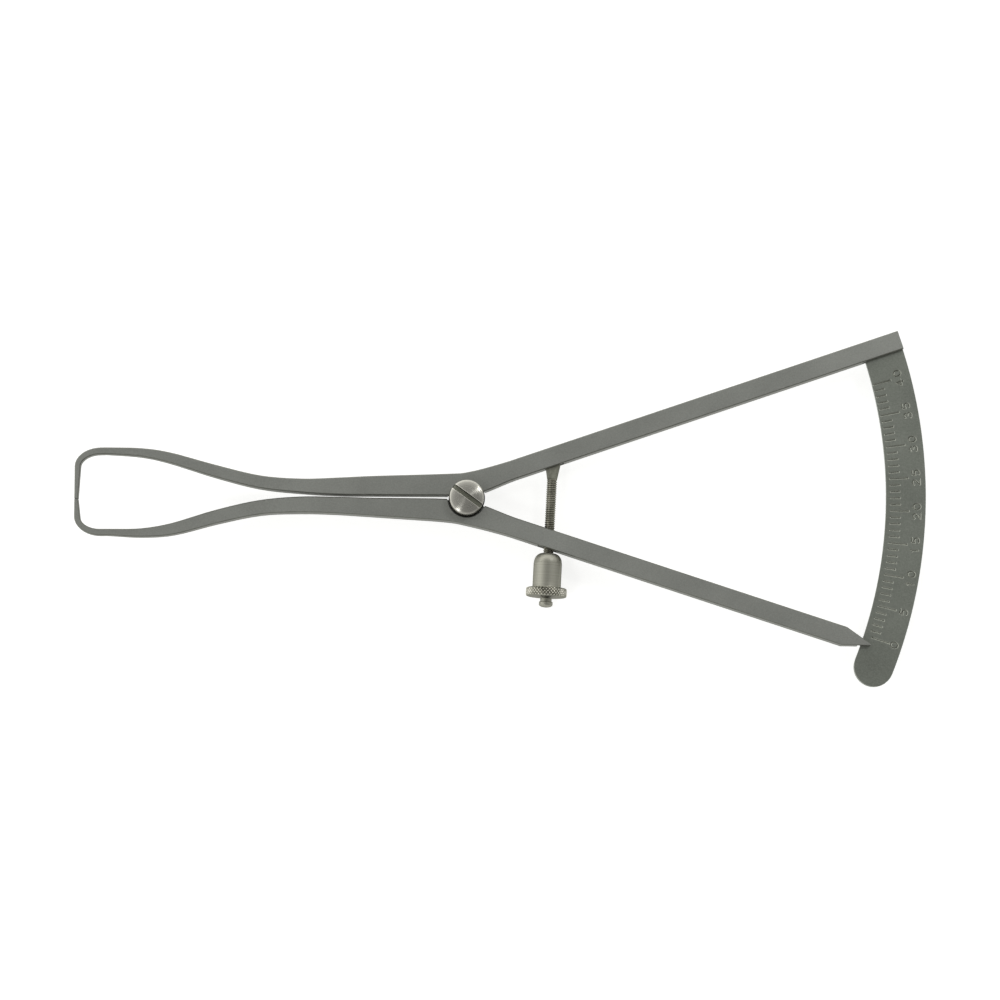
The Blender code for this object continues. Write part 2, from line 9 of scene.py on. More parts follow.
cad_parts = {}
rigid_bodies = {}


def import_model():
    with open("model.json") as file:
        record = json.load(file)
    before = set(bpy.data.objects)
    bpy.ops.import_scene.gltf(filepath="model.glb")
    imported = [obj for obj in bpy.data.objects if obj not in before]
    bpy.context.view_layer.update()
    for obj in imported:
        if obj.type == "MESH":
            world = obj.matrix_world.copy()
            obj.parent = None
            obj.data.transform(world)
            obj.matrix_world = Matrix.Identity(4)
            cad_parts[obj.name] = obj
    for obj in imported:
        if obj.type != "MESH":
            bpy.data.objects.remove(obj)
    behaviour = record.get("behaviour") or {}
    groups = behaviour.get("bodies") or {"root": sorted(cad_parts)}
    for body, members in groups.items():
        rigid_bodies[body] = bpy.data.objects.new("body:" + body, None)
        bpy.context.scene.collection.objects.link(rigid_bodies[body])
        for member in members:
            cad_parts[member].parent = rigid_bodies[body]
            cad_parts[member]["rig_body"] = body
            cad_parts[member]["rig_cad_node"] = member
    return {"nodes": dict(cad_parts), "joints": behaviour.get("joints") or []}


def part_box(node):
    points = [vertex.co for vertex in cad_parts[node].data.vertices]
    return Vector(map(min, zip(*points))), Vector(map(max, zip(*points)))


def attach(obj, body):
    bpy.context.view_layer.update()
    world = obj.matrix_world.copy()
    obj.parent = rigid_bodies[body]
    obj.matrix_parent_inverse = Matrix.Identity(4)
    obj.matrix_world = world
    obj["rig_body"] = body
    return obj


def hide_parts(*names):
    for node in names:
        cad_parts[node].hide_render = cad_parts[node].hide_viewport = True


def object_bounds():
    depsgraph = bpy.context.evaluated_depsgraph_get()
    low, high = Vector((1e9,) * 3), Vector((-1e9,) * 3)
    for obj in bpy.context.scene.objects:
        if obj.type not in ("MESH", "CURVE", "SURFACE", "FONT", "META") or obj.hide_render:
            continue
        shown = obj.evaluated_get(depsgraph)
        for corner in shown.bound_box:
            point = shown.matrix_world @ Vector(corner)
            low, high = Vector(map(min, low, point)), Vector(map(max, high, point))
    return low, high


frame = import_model()
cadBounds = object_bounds()
mm = 0.001
weldDistance = 0.002 * mm
bumpHeight = 0.02 * mm  # of every grain and lathe ring
joints = {joint["name"]: joint for joint in frame["joints"]}
print("frame loaded, nodes:", len(frame["nodes"]))


# Small helpers for modelling by hand.


def deselectAll():
    if bpy.context.object and bpy.context.object.mode != "OBJECT":
        bpy.ops.object.mode_set(mode="OBJECT")
    bpy.ops.object.select_all(action="DESELECT")


def makeActive(piece):
    deselectAll()
    piece.select_set(True)
    bpy.context.view_layer.objects.active = piece


def applyModifier(piece, kind, **settings):
    makeActive(piece)
    modifier = piece.modifiers.new(kind.lower(), kind)
    for key, value in settings.items():
        setattr(modifier, key, value)
    bpy.ops.object.modifier_apply(modifier=modifier.name)


def cutWith(piece, cutter, crossing=False):
    # crossing is for a cutter whose parts run into one another.
    applyModifier(
        piece, "BOOLEAN", operation="DIFFERENCE", solver="EXACT", use_self=crossing, object=cutter
    )
    bpy.data.objects.remove(cutter, do_unlink=True)


def joined(pieces):
    deselectAll()
    for piece in pieces:
        piece.select_set(True)
    bpy.context.view_layer.objects.active = pieces[0]
    bpy.ops.object.join()
    return bpy.context.object


def closeAndSmooth(piece, angle=30):
    # Merge, turn the faces out, and shade smooth below the angle.
    makeActive(piece)
    bpy.ops.object.mode_set(mode="EDIT")
    bpy.ops.mesh.select_all(action="SELECT")
    bpy.ops.mesh.remove_doubles(threshold=weldDistance)
    bpy.ops.mesh.normals_make_consistent(inside=False)
    bpy.ops.object.mode_set(mode="OBJECT")
    bpy.ops.object.shade_smooth_by_angle(angle=math.radians(angle))


def settle(piece, matrix=None):
    # Put the place into the mesh, so that the object itself sits at the origin.
    bpy.context.view_layer.update()
    piece.data.transform((matrix or Matrix.Identity(4)) @ piece.matrix_world)
    piece.matrix_world = Matrix.Identity(4)


def drawLine(name, points):
    # A line of points, pulled out of one another; the points are in mm.
    deselectAll()
    bpy.ops.mesh.primitive_plane_add(size=mm)
    line = bpy.context.object
    line.name = name
    bpy.ops.object.mode_set(mode="EDIT")
    bpy.ops.mesh.select_mode(type="VERT")
    bpy.ops.mesh.select_all(action="SELECT")
    bpy.ops.mesh.merge(type="CENTER")
    bpy.ops.transform.translate(value=Vector(points[0]) * mm)
    for before, after in zip(points, points[1:]):
        step = (Vector(after) - Vector(before)) * mm
        bpy.ops.mesh.extrude_vertices_move(TRANSFORM_OT_translate={"value": step})
    bpy.ops.object.mode_set(mode="OBJECT")
    return line


def makeTube(name, points, radius, resolution=3):
    # A closed tube of that radius along a line of points, all in mm; resolution 0 makes it four-sided.
    line = drawLine(name, points)
    makeActive(line)
    bpy.ops.object.convert(target="CURVE")
    curve = bpy.context.object
    curve.data.bevel_depth = radius * mm
    curve.data.bevel_resolution = resolution
    curve.data.use_fill_caps = True
    bpy.ops.object.convert(target="MESH")
    closeAndSmooth(bpy.context.object)
    return bpy.context.object


def selectFaces(piece, wanted):
    # wanted takes a face's centre and normal; the piece is left in edit mode with those selected.
    makeActive(piece)
    bpy.ops.object.mode_set(mode="EDIT")
    bpy.ops.mesh.select_all(action="DESELECT")
    bpy.ops.object.mode_set(mode="OBJECT")
    for face in piece.data.polygons:
        face.select = wanted(face.center, face.normal)
    bpy.ops.object.mode_set(mode="EDIT")
    bpy.ops.mesh.select_mode(type="FACE")


def turned(name, profile, segments, bored=False):
    # Pulls a circle along +Z ring by ring; a profile is a list of (height, radius) in mm.
    deselectAll()
    height, radius = profile[0]
    bpy.ops.mesh.primitive_circle_add(
        vertices=segments,
        radius=radius * mm,
        fill_type="NOTHING" if bored else "NGON",
        location=(0, 0, height * mm),
    )
    piece = bpy.context.object
    piece.name = name
    bpy.ops.object.mode_set(mode="EDIT")
    bpy.ops.mesh.select_mode(type="VERT")
    bpy.ops.mesh.select_all(action="SELECT")
    for nextHeight, nextRadius in profile[1:] + ([profile[0]] if bored else []):
        bpy.ops.mesh.extrude_region_move(
            TRANSFORM_OT_translate={"value": (0, 0, (nextHeight - height) * mm)}
        )
        grow = nextRadius / radius
        bpy.ops.transform.resize(value=(grow, grow, 1), center_override=(0, 0, nextHeight * mm))
        height, radius = nextHeight, nextRadius
    bpy.ops.object.mode_set(mode="OBJECT")
    settle(piece)
    return piece


def roundedCorner(start, end, steps, widenFirst):
    # A quarter ellipse of (height, radius) points from start to end, without the start.
    points = []
    for step in range(1, steps + 1):
        turn = math.pi / 2 * step / steps
        early, late = math.sin(turn), 1 - math.cos(turn)
        up, out = (late, early) if widenFirst else (early, late)
        points.append((start[0] + (end[0] - start[0]) * up, start[1] + (end[1] - start[1]) * out))
    return points


# The spindle's own axes: +Z runs down the rod from the pin, +X points up from the table.
hinge = Vector(joints["spindle_swing"]["pos_m"])
down = -Vector(joints["nut_travel"]["axis"]).normalized()
up = Vector((0, 0, 1))
spindleMatrix = Matrix.Translation(hinge) @ Matrix((up, down.cross(up), down)).transposed().to_4x4()


def spanOf(node):
    # Where a CAD node starts and ends along the spindle, and its largest radius, in mm.
    inverse = spindleMatrix.inverted()
    local = [inverse @ vertex.co for vertex in frame["nodes"][node].data.vertices]
    heights = [point.z / mm for point in local]
    radius = max(math.hypot(point.x, point.y) / mm for point in local)
    return min(heights), max(heights), radius


# Camera at the photograph's angle: almost straight down, a little from the nut's side.
view = {
    "aim": (5.7, -0.1, 1.5),  # mm
    "elevation": 82.7,
    "distance": 700,  # mm
    "frameWidth": 172.1,  # mm seen across the picture at that distance
    "sensor": 36,
    "clipStart": 10,  # mm
}


def addCamera(settings):
    tilt = math.radians(settings["elevation"])
    aim = Vector(settings["aim"]) * mm
    away = Vector((0, -math.cos(tilt), math.sin(tilt)))
    data = bpy.data.cameras.new("camera")
    data.sensor_width = settings["sensor"]
    data.lens = settings["sensor"] * settings["distance"] / settings["frameWidth"]
    data.clip_start = settings["clipStart"] * mm
    camera = bpy.data.objects.new("camera", data)
    bpy.context.scene.collection.objects.link(camera)
    camera.location = aim + away * settings["distance"] * mm
    camera.rotation_euler = (-away).to_track_quat("-Z", "Y").to_euler()
    bpy.context.scene.camera = camera


addCamera(view)
print("camera placed")


# Light: a pale tent, dim straight above, where the camera looks down from, and
# brighter towards the back and the left.
light = {
    "heights": (0.0, 0.55, 0.8, 0.95, 1.0),  # 0 is the horizon, 1 is straight above
    "levels": (0.85, 1.10, 0.56, 0.29, 0.26),
    "toBack": 0.5,
    "toLeft": 0.4,
    "tint": (1.0, 0.995, 0.975),
    "rightPlace": (330, 300, 560),  # mm
    "leftPlace": (-280, -320, 570),
    "boxSize": 130,
    "boxPower": 0.46,
}
# Floor: plain and pale, so that it reads as lit from within the tent.
table = {
    "size": 6000,  # mm
    "gap": 0.05,  # mm under the part
    "color": (0.5, 0.5, 0.5),
    "roughness": 0.9,
    "specular": 0.1,
    "glow": (1, 1, 0.99),
    "glowStrength": 0.74,
}


def addWorld(settings):
    world = bpy.data.worlds.new("tent")
    bpy.context.scene.world = world
    world.use_nodes = True
    nodes, links = world.node_tree.nodes, world.node_tree.links
    coordinates = nodes.new("ShaderNodeTexCoord")
    split = nodes.new("ShaderNodeSeparateXYZ")
    ramp = nodes.new("ShaderNodeFloatCurve")
    links.new(coordinates.outputs["Generated"], split.inputs[0])
    links.new(split.outputs["Z"], ramp.inputs["Value"])
    curve = ramp.mapping.curves[0]
    most = max(settings["levels"])
    for place, level in zip(settings["heights"], settings["levels"]):
        if 0 < place < 1:
            curve.points.new(place, level / most)
    curve.points[0].location = (0, settings["levels"][0] / most)
    curve.points[-1].location = (1, settings["levels"][-1] / most)
    ramp.mapping.update()
    back = nodes.new("ShaderNodeMath")
    back.operation = "MULTIPLY_ADD"
    back.inputs[1].default_value = settings["toBack"] * most
    back.inputs[2].default_value = most
    links.new(split.outputs["Y"], back.inputs[0])
    left = nodes.new("ShaderNodeMath")
    left.operation = "MULTIPLY_ADD"
    left.inputs[1].default_value = -settings["toLeft"] * most
    links.new(split.outputs["X"], left.inputs[0])
    links.new(back.outputs[0], left.inputs[2])
    strength = nodes.new("ShaderNodeMath")
    strength.operation = "MULTIPLY"
    links.new(ramp.outputs["Value"], strength.inputs[0])
    links.new(left.outputs[0], strength.inputs[1])
    nodes["Background"].inputs["Color"].default_value = (*settings["tint"], 1)
    links.new(strength.outputs[0], nodes["Background"].inputs["Strength"])


def addSoftbox(name, place, size, power):
    data = bpy.data.lights.new(name, "AREA")
    data.shape = "DISK"
    data.size = size * mm
    data.energy = power
    lamp = bpy.data.objects.new(name, data)
    bpy.context.scene.collection.objects.link(lamp)
    lamp.location = Vector(place) * mm
    lamp.rotation_euler = (-lamp.location).to_track_quat("-Z", "Y").to_euler()


def addFloor(settings, low):
    deselectAll()
    place = (0, 0, low - settings["gap"] * mm)
    bpy.ops.mesh.primitive_plane_add(size=settings["size"] * mm, location=place)
    floor = bpy.context.object
    floor.name = "floor"
    material = bpy.data.materials.new("paleFloor")
    material.use_nodes = True
    shader = material.node_tree.nodes["Principled BSDF"]
    shader.inputs["Base Color"].default_value = (*settings["color"], 1)
    shader.inputs["Roughness"].default_value = settings["roughness"]
    shader.inputs["Specular IOR Level"].default_value = settings["specular"]
    shader.inputs["Emission Color"].default_value = (*settings["glow"], 1)
    shader.inputs["Emission Strength"].default_value = settings["glowStrength"]
    floor.data.materials.append(material)


addWorld(light)
addSoftbox("rightSoftbox", light["rightPlace"], light["boxSize"], light["boxPower"])
addSoftbox("leftSoftbox", light["leftPlace"], light["boxSize"], light["boxPower"])
addFloor(table, cadBounds[0][2])
bpy.context.scene.view_settings.view_transform = "Standard"
print("light and floor set")


# Shader groups that several steels share.


def newGroup(name, inputs, outputs):
    group = bpy.data.node_groups.new(name, "ShaderNodeTree")
    for label, kind, value in inputs:
        socket = group.interface.new_socket(name=label, in_out="INPUT", socket_type=kind)
        socket.default_value = value
    for label, kind in outputs:
        group.interface.new_socket(name=label, in_out="OUTPUT", socket_type=kind)
    return group, group.nodes.new("NodeGroupInput"), group.nodes.new("NodeGroupOutput")


def mathNode(nodes, links, operation, first, second):
    node = nodes.new("ShaderNodeMath")
    node.operation = operation
    for socket, value in zip(node.inputs, (first, second)):
        if isinstance(value, (int, float)):
            socket.default_value = value
        else:
            links.new(value, socket)
    return node.outputs[0]


def buildGrain():
    # Blasted or ground steel: a fine speckle, a broad mottle, and the bump of the speckle.
    group, start, end = newGroup(
        "steelGrain",
        [
            ("Speckle Scale", "NodeSocketFloat", 4000.0),
            ("Mottle Scale", "NodeSocketFloat", 250.0),
            ("Depth", "NodeSocketFloat", 0.2),
        ],
        [
            ("Speckle", "NodeSocketFloat"),
            ("Mottle", "NodeSocketFloat"),
            ("Normal", "NodeSocketVector"),
        ],
    )
    nodes, links = group.nodes, group.links
    coordinates = nodes.new("ShaderNodeTexCoord")
    speckle = nodes.new("ShaderNodeTexNoise")
    speckle.inputs["Detail"].default_value = 3
    mottle = nodes.new("ShaderNodeTexNoise")
    mottle.inputs["Detail"].default_value = 4
    for noise, label in ((speckle, "Speckle Scale"), (mottle, "Mottle Scale")):
        links.new(coordinates.outputs["Object"], noise.inputs["Vector"])
        links.new(start.outputs[label], noise.inputs["Scale"])
    bump = nodes.new("ShaderNodeBump")
    bump.inputs["Distance"].default_value = bumpHeight
    links.new(start.outputs["Depth"], bump.inputs["Strength"])
    links.new(speckle.outputs["Fac"], bump.inputs["Height"])
    links.new(speckle.outputs["Fac"], end.inputs["Speckle"])
    links.new(mottle.outputs["Fac"], end.inputs["Mottle"])
    links.new(bump.outputs["Normal"], end.inputs["Normal"])
    return group


def buildTurning():
    # Lathe rings about the local Z axis of the given vector: a value and a bump.
    group, start, end = newGroup(
        "latheRings",
        [
            ("Vector", "NodeSocketVector", (0.0, 0.0, 0.0)),
            ("Radial", "NodeSocketFloat", 0.0),
            ("Rings Per Metre", "NodeSocketFloat", 6000.0),
            ("Depth", "NodeSocketFloat", 0.3),
        ],
        [("Rings", "NodeSocketFloat"), ("Normal", "NodeSocketVector")],
    )
    nodes, links = group.nodes, group.links
    split = nodes.new("ShaderNodeSeparateXYZ")
    links.new(start.outputs["Vector"], split.inputs[0])
    flat = nodes.new("ShaderNodeCombineXYZ")
    links.new(split.outputs["X"], flat.inputs["X"])
    links.new(split.outputs["Y"], flat.inputs["Y"])
    length = nodes.new("ShaderNodeVectorMath")
    length.operation = "LENGTH"
    links.new(flat.outputs[0], length.inputs[0])
    place = nodes.new("ShaderNodeMix")
    place.data_type = "FLOAT"
    links.new(start.outputs["Radial"], place.inputs["Factor"])
    links.new(split.outputs["Z"], place.inputs["A"])
    links.new(length.outputs["Value"], place.inputs["B"])
    along, density = place.outputs["Result"], start.outputs["Rings Per Metre"]
    scaled = mathNode(nodes, links, "MULTIPLY", along, density)
    noise = nodes.new("ShaderNodeTexNoise")
    noise.noise_dimensions = "1D"
    noise.inputs["Detail"].default_value = 3
    noise.inputs["Scale"].default_value = 1
    links.new(scaled, noise.inputs["W"])
    bump = nodes.new("ShaderNodeBump")
    bump.inputs["Distance"].default_value = bumpHeight
    links.new(start.outputs["Depth"], bump.inputs["Strength"])
    links.new(noise.outputs["Fac"], bump.inputs["Height"])
    links.new(noise.outputs["Fac"], end.inputs["Rings"])
    links.new(bump.outputs["Normal"], end.inputs["Normal"])
    return group


grainGroup = buildGrain()
turningGroup = buildTurning()


def placeGroup(nodes, group, values):
    node = nodes.new("ShaderNodeGroup")
    node.node_tree = group
    for label, value in values.items():
        node.inputs[label].default_value = value
    return node


def colorBetween(nodes, links, factor, dark, bright, span=(0.3, 0.7)):
    ramp = nodes.new("ShaderNodeValToRGB")
    ramp.color_ramp.elements[0].position = span[0]
    ramp.color_ramp.elements[0].color = (*dark, 1)
    ramp.color_ramp.elements[1].position = span[1]
    ramp.color_ramp.elements[1].color = (*bright, 1)
    links.new(factor, ramp.inputs["Fac"])
    return ramp.outputs["Color"]


def valueBetween(nodes, links, factor, low, high, span=(0.3, 0.7)):
    remap = nodes.new("ShaderNodeMapRange")
    remap.inputs["From Min"].default_value = span[0]
    remap.inputs["From Max"].default_value = span[1]
    remap.inputs["To Min"].default_value = low
    remap.inputs["To Max"].default_value = high
    links.new(factor, remap.inputs["Value"])
    return remap.outputs[0]


def newSteel(name, edge):
    # edge is how much a surface shines where it is seen almost along itself.
    material = bpy.data.materials.new(name)
    material.use_nodes = True
    shader = material.node_tree.nodes["Principled BSDF"]
    shader.inputs["Metallic"].default_value = 1.0
    shader.inputs["Specular Tint"].default_value = (edge, edge, edge, 1)
    return material, shader, material.node_tree.nodes, material.node_tree.links


def spindleAxes(nodes, links):
    # A place counted from the pin, with Z down the rod.
    coordinates = nodes.new("ShaderNodeTexCoord")
    mapping = nodes.new("ShaderNodeMapping")
    mapping.vector_type = "TEXTURE"
    mapping.inputs["Location"].default_value = spindleMatrix.to_translation()
    mapping.inputs["Rotation"].default_value = spindleMatrix.to_euler()
    links.new(coordinates.outputs["Object"], mapping.inputs["Vector"])
    return mapping.outputs[0]


def grainedSteel(
    name, dark, bright, roughness, speckle, mottle, depth=0.2, mottleShare=0.5, edge=1.0
):
    # Speckle and mottle are grains and patches per metre; the mottle also sets the roughness.
    material, shader, nodes, links = newSteel(name, edge)
    grain = placeGroup(
        nodes, grainGroup, {"Speckle Scale": speckle, "Mottle Scale": mottle, "Depth": depth}
    )
    speckled = mathNode(nodes, links, "MULTIPLY", grain.outputs["Speckle"], 1 - mottleShare)
    mottled = mathNode(nodes, links, "MULTIPLY", grain.outputs["Mottle"], mottleShare)
    tone = mathNode(nodes, links, "ADD", speckled, mottled)
    links.new(colorBetween(nodes, links, tone, dark, bright), shader.inputs["Base Color"])
    rough = valueBetween(nodes, links, grain.outputs["Mottle"], *roughness)
    links.new(rough, shader.inputs["Roughness"])
    links.new(grain.outputs["Normal"], shader.inputs["Normal"])
    return material


def turnedSteel(name, dark, bright, roughness, rings, depth, facing, shine=0.0, edge=1.0):
    # A lathe finish: about the pivot on a face square to it, or else along the spindle's rod.
    material, shader, nodes, links = newSteel(name, edge)
    if facing:
        place = nodes.new("ShaderNodeTexCoord").outputs["Object"]
    else:
        place = spindleAxes(nodes, links)
    turning = placeGroup(
        nodes, turningGroup, {"Radial": int(facing), "Rings Per Metre": rings, "Depth": depth}
    )
    links.new(place, turning.inputs["Vector"])
    color = colorBetween(nodes, links, turning.outputs["Rings"], dark, bright)
    links.new(color, shader.inputs["Base Color"])
    rough = valueBetween(nodes, links, turning.outputs["Rings"], *roughness)
    links.new(rough, shader.inputs["Roughness"])
    links.new(turning.outputs["Normal"], shader.inputs["Normal"])
    if shine:
        # Scratches that run round throw their shine from the middle outwards.
        shader.inputs["Anisotropic"].default_value = shine
        shader.inputs["Anisotropic Rotation"].default_value = 0.25  # a quarter turn
        tangent = nodes.new("ShaderNodeTangent")
        tangent.direction_type = "RADIAL"
        tangent.axis = "Z"
        links.new(tangent.outputs[0], shader.inputs["Tangent"])
    return material


wear = {
    "mottle": 600,  # patches per metre
    "reach": 0.35,  # how far a patch moves the tone up or down
    "span": (0.05, 0.95),
}


def hollowedSteel(name, dark, bright, roughness, inner, outer, speckle, depth=0.2, edge=1.0):
    # Thread or knurl: darker in its hollows and lighter on its crests, by the distance from the
    # spindle's axis in mm: painted shade and painted highlight.
    material, shader, nodes, links = newSteel(name, edge)
    flatten = nodes.new("ShaderNodeVectorMath")
    flatten.operation = "MULTIPLY"
    flatten.inputs[1].default_value = (1, 1, 0)
    links.new(spindleAxes(nodes, links), flatten.inputs[0])
    length = nodes.new("ShaderNodeVectorMath")
    length.operation = "LENGTH"
    links.new(flatten.outputs[0], length.inputs[0])
    height = valueBetween(nodes, links, length.outputs["Value"], 0, 1, (inner * mm, outer * mm))
    grain = placeGroup(
        nodes, grainGroup, {"Speckle Scale": speckle, "Mottle Scale": wear["mottle"], "Depth": depth}
    )
    patches = valueBetween(nodes, links, grain.outputs["Mottle"], -wear["reach"], wear["reach"])
    tone = mathNode(nodes, links, "ADD", height, patches)
    color = colorBetween(nodes, links, tone, dark, bright, wear["span"])
    links.new(color, shader.inputs["Base Color"])
    rough = valueBetween(nodes, links, grain.outputs["Speckle"], *roughness)
    links.new(rough, shader.inputs["Roughness"])
    links.new(grain.outputs["Normal"], shader.inputs["Normal"])
    return material


armSatin = grainedSteel(
    "armSatin",
    dark=(0.274, 0.282, 0.262),
    bright=(0.368, 0.379, 0.352),
    roughness=(0.42, 0.47),
    speckle=4600,
    mottle=90,
    depth=0.7,
    mottleShare=0.3,
)
armBevel = grainedSteel(
    "armBevel",
    dark=(0.165, 0.17, 0.15),
    bright=(0.225, 0.23, 0.205),
    roughness=(0.30, 0.38),
    speckle=2600,
    mottle=300,
    edge=0.5,
)
armSide = grainedSteel(
    "armSide",
    dark=(0.22, 0.225, 0.2),
    bright=(0.3, 0.305, 0.275),
    roughness=(0.36, 0.44),
    speckle=2400,
    mottle=250,
    depth=0.3,
    edge=0.56,
)
plateSatin = grainedSteel(
    "plateSatin",
    dark=(0.202, 0.217, 0.19),
    bright=(0.279, 0.297, 0.262),
    roughness=(0.42, 0.48),
    speckle=4200,
    mottle=90,
    depth=0.55,
    mottleShare=0.3,
)
grooveSteel = grainedSteel(
    "grooveSteel",
    dark=(0.23, 0.24, 0.21),
    bright=(0.3, 0.31, 0.275),
    roughness=(0.24, 0.30),
    speckle=3000,
    mottle=500,
    depth=0.1,
)
screwSteel = turnedSteel(
    "screwSteel",
    dark=(0.43, 0.425, 0.38),
    bright=(0.53, 0.52, 0.475),
    roughness=(0.25, 0.31),
    rings=9000,
    depth=0.12,
    facing=True,
    shine=0.85,
    edge=0.6,
)
slotSteel = grainedSteel(
    "slotSteel",
    dark=(0.36, 0.37, 0.3),
    bright=(0.46, 0.47, 0.39),
    roughness=(0.45, 0.55),
    speckle=5000,
    mottle=500,
    depth=0.3,
)
# Near-black: painted shade on the slot's walls.
slotWallShade = grainedSteel(
    "slotWallShade",
    dark=(0.03, 0.03, 0.022),
    bright=(0.06, 0.06, 0.045),
    roughness=(0.40, 0.50),
    speckle=5000,
    mottle=500,
    depth=0.3,
    edge=0.3,
)
# Very bright: painted highlight along the slot's rounded corners.
edgeHighlightSteel = grainedSteel(
    "edgeHighlightSteel",
    dark=(0.72, 0.7, 0.64),
    bright=(0.86, 0.84, 0.77),
    roughness=(0.24, 0.32),
    speckle=3000,
    mottle=500,
    depth=0.1,
)
# Near-black: painted shadow, the ring under the screw head's edge.
paintedShadowSteel = grainedSteel(
    "paintedShadowSteel",
    dark=(0.012, 0.012, 0.01),
    bright=(0.035, 0.034, 0.028),
    roughness=(0.35, 0.50),
    speckle=4000,
    mottle=600,
    depth=0.3,
    edge=0.3,
)
nutSteel = turnedSteel(
    "nutSteel",
    dark=(0.3, 0.3, 0.255),
    bright=(0.375, 0.37, 0.32),
    roughness=(0.42, 0.50),
    rings=5000,
    depth=0.35,
    facing=False,
    edge=0.3,
)
# Knurl and thread below: painted shade in the hollows, painted highlight on the crests.
knurlSteel = hollowedSteel(
    "knurlSteel",
    dark=(0.22, 0.22, 0.18),
    bright=(0.74, 0.72, 0.64),
    roughness=(0.24, 0.36),
    inner=3.36,
    outer=3.54,
    speckle=3500,
    edge=0.5,
)
threadSteel = hollowedSteel(
    "threadSteel",
    dark=(0.15, 0.15, 0.12),
    bright=(0.43, 0.42, 0.36),
    roughness=(0.32, 0.44),
    inner=0.70,
    outer=0.895,
    speckle=2500,
    edge=0.25,
)
eyeSteel = grainedSteel(
    "eyeSteel",
    dark=(0.25, 0.255, 0.205),
    bright=(0.4, 0.405, 0.34),
    roughness=(0.32, 0.44),
    speckle=3800,
    mottle=1200,
    depth=0.7,
    edge=0.3,
)
print("materials built")


# Arms and pin: the solids' own forms, merged and shaded, with ground sides and chamfers.
arms = {
    "merge": 0.001,  # mm
    "flatAngle": 0.5,  # degrees, under which two faces count as one
    "smoothAngle": 32,
    "chamferLow": 0.5,  # a chamfer's normal points this much up or down
    "chamferHigh": 0.9,
}


def dressCopy(node, name, body, materials, pick):
    # A merged copy of a CAD node stands for it; pick gives each face its material.
    makeActive(frame["nodes"][node])
    piece = frame["nodes"][node].copy()
    piece.data = frame["nodes"][node].data.copy()
    piece.name = name
    piece.parent = None
    bpy.context.scene.collection.objects.link(piece)
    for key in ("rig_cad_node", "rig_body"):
        del piece[key]
    makeActive(piece)
    bpy.ops.object.mode_set(mode="EDIT")
    bpy.ops.mesh.select_all(action="SELECT")
    bpy.ops.mesh.remove_doubles(threshold=arms["merge"] * mm)
    bpy.ops.mesh.dissolve_limited(angle_limit=math.radians(arms["flatAngle"]))
    bpy.ops.object.mode_set(mode="OBJECT")
    bpy.ops.mesh.customdata_custom_splitnormals_clear()
    bpy.ops.object.shade_smooth_by_angle(angle=math.radians(arms["smoothAngle"]))
    piece.data.materials.clear()
    for material in materials:
        piece.data.materials.append(material)
    for face in piece.data.polygons:
        face.material_index = pick(face)
    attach(piece, body)
    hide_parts(node)
    return piece


def armPick(face):
    # Flats are satin, chamfers and sides are ground.
    lean = abs(face.normal.z)
    if lean > arms["chamferHigh"]:
        return 0
    return 1 if lean > arms["chamferLow"] else 2


for node, name, body in (
    ("scale_arm", "scaleArm", "scale_arm"),
    ("pointer_arm", "pointerArm", "pointer_arm"),
    ("spindle_pin", "hingePin", "scale_arm"),
):
    dressCopy(node, name, body, [armSatin, armBevel, armSide], armPick)
print("arms dressed")


# Pivot screw: a turned, domed head with a hand-cut slot.
screw = {
    "shankRadius": 1.5,
    "headBase": 3.05,
    "headRadius": 2.96,
    "rimBevel": 0.1,
    "rimHeight": 1.85,
    "domeHeight": 0.5,
    "domeSteps": 15,
    "slotWidth": 0.82,
    "slotDepth": 1.3,
    "slotAngle": -36.5,
    "slotOffset": 0.2,  # from the head's middle
    "wallMargin": 0.002,  # in which a face still counts as the slot's
    "floorMargin": 0.02,
    "edgeRadius": 0.065,
    "edgeSink": 0.055,  # of a rounded edge's middle line under the dome
    "edgeSteps": 20,
    "edgeInset": 0.04,  # of its ends from the rim
    "seat": (3.006, 3.044),  # near-black ring in the gap between the head and the arm: painted shadow under the head's edge
    "seatRadius": 3.12,
    "seatBore": 1.52,
    "segments": 96,
    "smoothAngle": 28,
}


def turnScrew(s, rim):
    base, outer = s["headBase"], s["headRadius"]
    profile = [(0, s["shankRadius"]), (base, s["shankRadius"]), (base, outer - s["rimBevel"])]
    profile += roundedCorner(profile[-1], (base + s["rimBevel"], outer), 3, True)
    profile.append((rim, outer))
    for step in range(1, s["domeSteps"]):
        # The dome is steeper towards the rim.
        turn = math.pi / 2 * step / s["domeSteps"]
        profile.append((rim + s["domeHeight"] * math.sin(turn), outer * math.cos(turn)))
    piece = turned("pivotScrew", profile, s["segments"])
    closeAndSmooth(piece)
    return piece


def cutSlot(s, piece, top, turn, across):
    deselectAll()
    bpy.ops.mesh.primitive_cube_add(size=1)
    slot = bpy.context.object
    slot.scale = (4 * s["headRadius"] * mm, s["slotWidth"] * mm, 2 * s["slotDepth"] * mm)
    slot.location = (across * s["slotOffset"] + Vector((0, 0, top))) * mm
    slot.rotation_euler = (0, 0, turn)
    settle(slot)
    cutWith(piece, slot)
    for material in (screwSteel, slotSteel, slotWallShade):
        piece.data.materials.append(material)
    low = top - s["slotDepth"] - s["floorMargin"]
    half = s["slotWidth"] / 2 + s["wallMargin"]
    for face in piece.data.polygons:
        aside = abs(face.center.dot(across) / mm - s["slotOffset"])
        inSlot = aside < half and face.center.z / mm > low
        # Faces that stand up in the slot get the near-black steel: painted shade.
        slotPart = 1 if abs(face.normal.z) > 0.9 else 2
        face.material_index = slotPart if inSlot else 0
    closeAndSmooth(piece, s["smoothAngle"])


